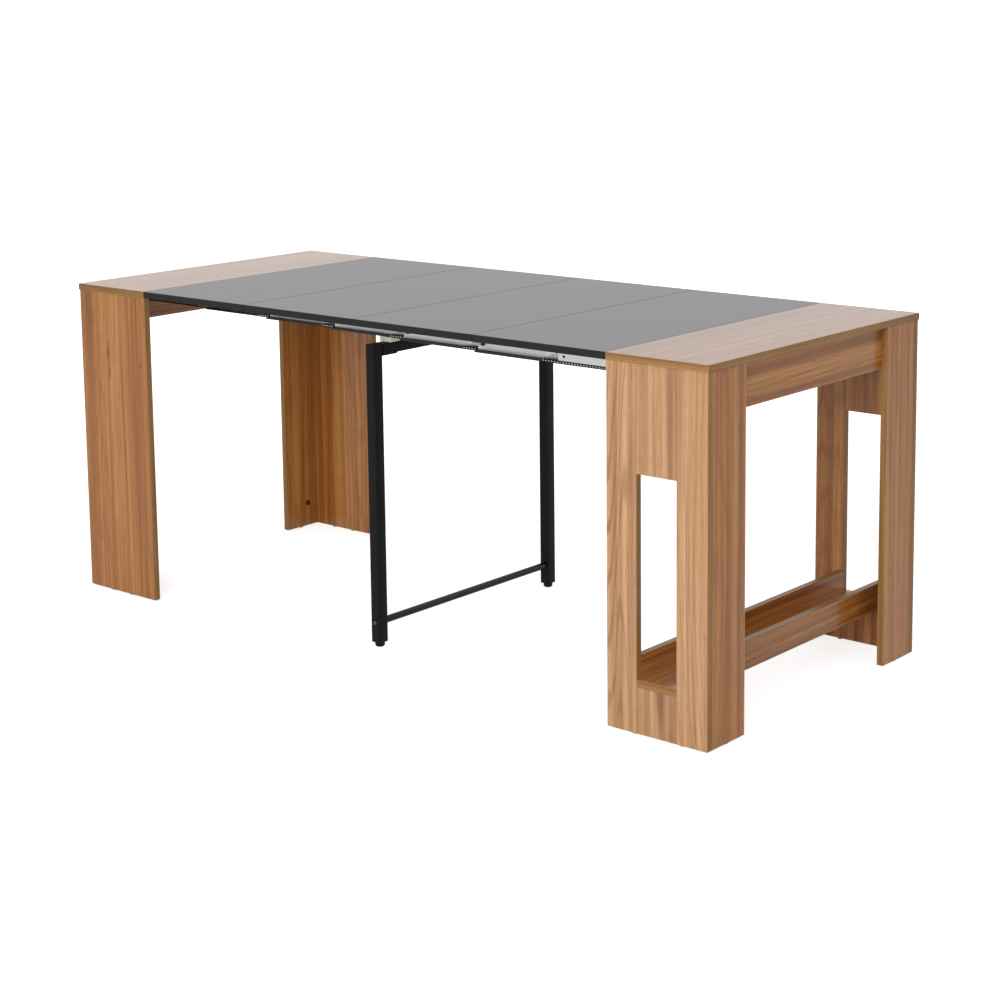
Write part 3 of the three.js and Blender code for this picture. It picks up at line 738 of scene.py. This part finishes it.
def posts():
    for label, _ in SIDES:
        node = f"support_{label}_post"
        low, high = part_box(node)
        xs, ys = zip(low.xy, high.xy)
        seat = high.z - CAP_THICKNESS * MM
        tube = bmesh.new()
        add_tube(tube, xs, ys, (low.z, seat), Z)
        finish_piece(node, "tube", tube, [POWDER_COAT], replaces=True)
        cap = bmesh.new()
        add_tube(cap, xs, ys, (seat + CLEAR * MM, high.z), Z)
        rim = [edge for edge in cap.edges if all(v.co.z > high.z - CLEAR * MM for v in edge.verts)]
        round_edges(cap, rim, CAP_BEVEL * MM, segments=3)
        finish_piece(node, "cap", cap, [BLACK_PLASTIC])


def top_bar():
    node = "support_top_bar"
    low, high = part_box(node)
    middle = (low.x + high.x) / 2
    bar_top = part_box("support_front_post")[1].z
    under = bar_top - 2 * BAR_HALF * MM
    tube = bmesh.new()
    add_tube(tube, (middle - BAR_HALF * MM, middle + BAR_HALF * MM), (low.y, high.y), (under, bar_top), Y)
    finish_piece(node, "tube", tube, [POWDER_COAT], replaces=True)
    for label, side in SIDES:
        end = high.y if side == BACK else low.y
        saddle(node, label, side, middle, under, end - side * SADDLE_CLEAR * MM)
        saddle_bolt(node, label, (middle, side * SADDLE_BOLT * MM, under - SADDLE_THICKNESS * MM))


def saddle(node, label, side, middle, under, outer):
    """The bent strip under one end of the top bar, with a leg up each side of it."""
    corners = []
    for way in (-1, 1):
        x = middle + way * SADDLE_HALF * MM
        inner = middle + way * (BAR_HALF + TUBE_CLEAR) * MM
        bottom, top = under - SADDLE_THICKNESS * MM, under + SADDLE_HEIGHT * MM
        leg = [(x, bottom), (x, top), (inner, top), (inner, under - TUBE_CLEAR * MM)]
        corners += leg if way > 0 else leg[::-1]
    shape = bmesh.new()
    made = add_section(shape, [(x, outer, z) for x, z in corners], (0, -side * SADDLE_LENGTH * MM, 0))
    bends = [edge for edge in edges_along(made, Y) if edge.verts[0].co.z < under - SADDLE_THICKNESS * MM / 2]
    round_edges(shape, bends, SADDLE_BEND * MM, segments=4)
    finish_piece(node, f"{label}_saddle", shape, [POWDER_COAT], smooth=False)


def saddle_bolt(node, label, spot):
    """The bolt that goes up through a saddle, the bar and the spacer into the middle rail."""
    shape = bmesh.new()
    add_turned(shape, BOLT_PROFILE, spot, (0, 0, -1), sides=28)
    add_rod(shape, spot, (0, 0, 1), BOLT_RADIUS * MM, BOLT_LENGTH * MM, sides=16)
    finish_piece(node, f"{label}_bolt", shape, [BOLT_STEEL])


def stretcher():
    node = "support_stretcher"
    low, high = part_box(node)
    middle, height = (low.x + high.x) / 2, (low.z + high.z) / 2
    radius = (high.z - low.z) / 2
    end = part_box("support_back_post")[0].y - CLEAR * MM
    rod = bmesh.new()
    add_rod(rod, (middle, -end, height), (0, 1, 0), radius, 2 * end, sides=40)
    finish_piece(node, "rod", rod, [BLACK_ENAMEL], replaces=True)
    for label, side in SIDES:
        near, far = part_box(f"support_{label}_post")
        face = (near.y if side == FRONT else far.y) + side * BOLT_SEAT * MM
        bolt = bmesh.new()
        add_turned(bolt, BOLT_PROFILE, (middle, face, height), (0, side, 0), sides=28)
        finish_piece(node, f"{label}_bolt", bolt, [BOLT_STEEL])


def spacers():
    """A nylon block between the top bar and each middle rail, stepped down beside the rail's web."""
    for label, side in SIDES:
        node = f"support_{label}_spacer"
        low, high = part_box(node)
        outer, inner = (high.y, low.y) if side == BACK else (low.y, high.y)
        web = rail_y(side, MIDDLE_RAIL, WEB_INSET + WEB_THICKNESS)
        step = high.z - SPACER_STEP * MM
        outline = [(outer, low.z), (inner, low.z), (inner, step), (web, step), (web, high.z), (outer, high.z)]
        shape = bmesh.new()
        made = add_section(shape, [(low.x, y, z) for y, z in outline], (high.x - low.x, 0, 0))
        round_edges(shape, edges_of(made), SPACER_BEVEL * MM, segments=3)
        finish_piece(node, "block", shape, [CREAM_NYLON], replaces=True)


def feet():
    for label, _ in SIDES:
        node = f"{label}_levelling_foot"
        low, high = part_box(node)
        shape = bmesh.new()
        add_turned(shape, FOOT_PROFILE, ((low.x + high.x) / 2, (low.y + high.y) / 2, 0), (0, 0, 1), sides=36)
        finish_piece(node, "pad", shape, [BLACK_PLASTIC], replaces=True)


# Floor, lights and world

FLOOR_HALF = 400
FLOOR_COLOUR = "#d6d6d6"
# The floor's glow to the camera near the table, which is full from the far distance on, and in reflections
FLOOR_GLOW, MIRRORED_GLOW = 0.76, 0.3
GLOW_NEAR, GLOW_FAR = 1.2, 4.5
WORLD_LIGHT = 0.5
WHITE = (1, 1, 1, 1)
LIGHTS = (
    # name, place, aim, width in metres, watts
    ("key", (2.2, -4.5, 1.8), (0.4, 0, 0.4), 3.0, 146),
    ("front", (1.0, -2.5, 1.2), (0.75, 0, 0.4), 0.9, 7),
    ("left", (-4.6, -2.6, 3.0), (0, 0, 0.5), 3.0, 22),
    ("right", (5.0, 0.6, 2.0), (0.6, 0, 0.4), 2.6, 6),
    ("back", (-1.6, 4.8, 1.8), (0, 0, 0.4), 3.0, 60),
)


def floor_material():
    """Matt white paint that glows to the camera, so that the ground stays pale and keeps the shadow."""
    material, tree = new_material("plain_pale_floor")
    ray = add(tree, "LightPath").outputs
    mirrored = add(tree, "Math", {0: ray["Is Glossy Ray"], 1: MIRRORED_GLOW}, operation="MULTIPLY")
    behind = add(tree, "Math", {0: mirrored, 1: ray["Is Transmission Ray"]}, operation="MAXIMUM")
    seen = add(tree, "Math", {0: ray["Is Camera Ray"], 1: behind}, operation="MAXIMUM")
    place = add(tree, "TexCoord").outputs["Object"]
    reach = add(tree, "VectorMath", {0: place}, operation="LENGTH")
    spread = add(tree, "MapRange", {"Value": reach, "From Min": GLOW_NEAR, "From Max": GLOW_FAR,
                                    "To Min": FLOOR_GLOW, "To Max": 1})
    glow = add(tree, "Math", {0: seen, 1: spread}, operation="MULTIPLY")
    shader = add(tree, "BsdfPrincipled", {"Base Color": linear(FLOOR_COLOUR), "Roughness": 1,
                                          "Specular IOR Level": 0, "Emission Color": WHITE,
                                          "Emission Strength": glow})
    add(tree, "OutputMaterial", {"Surface": shader})
    return material


def floor():
    shape = bmesh.new()
    bmesh.ops.create_grid(shape, x_segments=1, y_segments=1, size=FLOOR_HALF)
    mesh = bpy.data.meshes.new("floor")
    shape.to_mesh(mesh)
    shape.free()
    mesh.materials.append(floor_material())
    ground = bpy.data.objects.new("floor", mesh)
    bpy.context.scene.collection.objects.link(ground)


def lights():
    """Soft lamps that light the table but don't mirror in its glossy tops."""
    for name, place, aim, width, watts in LIGHTS:
        data = bpy.data.lights.new(name, "AREA")
        data.energy = watts
        data.size = width
        lamp = bpy.data.objects.new(name, data)
        lamp.location = place
        lamp.visible_glossy = False
        lamp.rotation_euler = (Vector(place) - Vector(aim)).to_track_quat("Z", "Y").to_euler()
        bpy.context.scene.collection.objects.link(lamp)


def world():
    """White to the camera and to reflections, and a plain even light on the table."""
    sky = bpy.data.worlds.new("studio")
    bpy.context.scene.world = sky
    sky.use_nodes = True
    tree = sky.node_tree
    tree.nodes.clear()
    ray = add(tree, "LightPath").outputs
    behind = add(tree, "Math", {0: ray["Is Glossy Ray"], 1: ray["Is Transmission Ray"]}, operation="MAXIMUM")
    seen = add(tree, "Math", {0: ray["Is Camera Ray"], 1: behind}, operation="MAXIMUM")
    strength = add(tree, "MapRange", {"Value": seen, "To Min": WORLD_LIGHT, "To Max": 1})
    glow = add(tree, "Background", {"Color": WHITE, "Strength": strength})
    add(tree, "OutputWorld", {"Surface": glow})


camera()
floor()
lights()
world()
wood_boards()
leaves()
glides()
cams()
rails()
ball_cages()
rail_stops()
bracket_screws()
posts()
top_bar()
stretcher()
spacers()
feet()

bpy.context.scene.view_settings.view_transform = "Standard"
